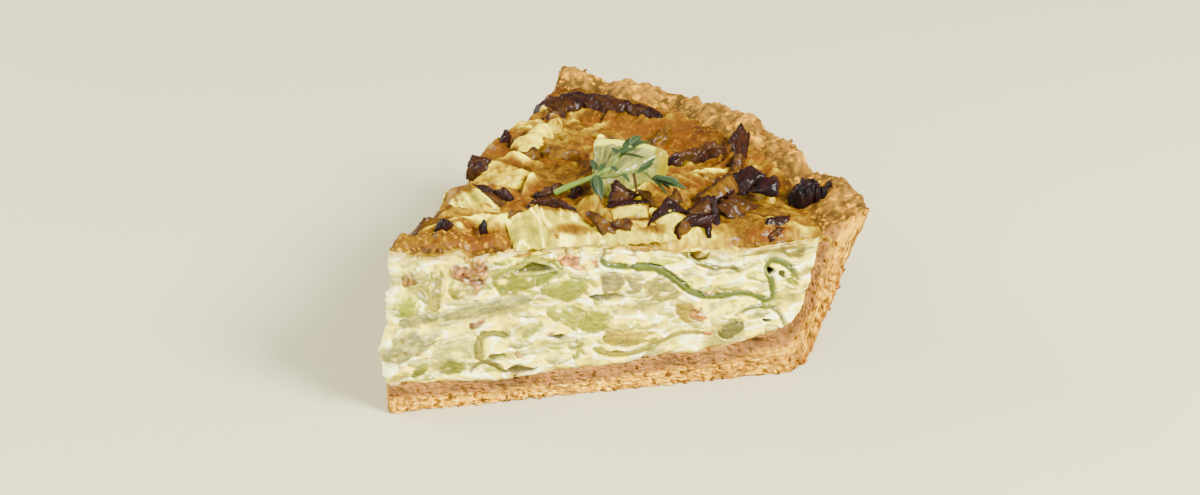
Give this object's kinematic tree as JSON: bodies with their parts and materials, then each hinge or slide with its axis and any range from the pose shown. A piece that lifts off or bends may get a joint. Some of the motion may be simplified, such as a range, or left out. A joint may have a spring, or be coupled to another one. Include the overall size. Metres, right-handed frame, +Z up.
{
  "type": "quiche slice",
  "caption": "Wedge of deep leek and onion quiche in a pastry case, topped with roasted onion petals and a piece of lemon.",
  "frame": {"origin": "the middle of the slice's footprint, on the flat underside of the pastry", "axes": "+X along the front cut face from the tip of the slice to the crust, +Z up; the front cut face looks along -Y"},
  "size_m": [0.1041, 0.0895, 0.049],
  "materials": {
    "pastry": "baked shortcrust, golden and flaky, browned at the rim",
    "custard": "set egg custard with leek and onion, glossy and golden on top",
    "lemon": "wet lemon flesh with white pith and yellow peel",
    "roasted_onion": "roasted onion, cream to charred dark brown, glossy"
  },
  "bodies": {
    "root": {"crust": "pastry", "filling": "custard", "lemon_piece": "lemon", "onion_petal_01": "roasted_onion", "onion_petal_02": "roasted_onion", "onion_petal_03": "roasted_onion", "onion_petal_04": "roasted_onion", "onion_petal_05": "roasted_onion", "onion_petal_06": "roasted_onion", "onion_petal_07": "roasted_onion", "onion_petal_08": "roasted_onion", "onion_petal_09": "roasted_onion", "onion_petal_10": "roasted_onion", "onion_petal_11": "roasted_onion", "onion_petal_12": "roasted_onion", "onion_petal_13": "roasted_onion", "onion_petal_14": "roasted_onion"}
  },
  "joints": []
}
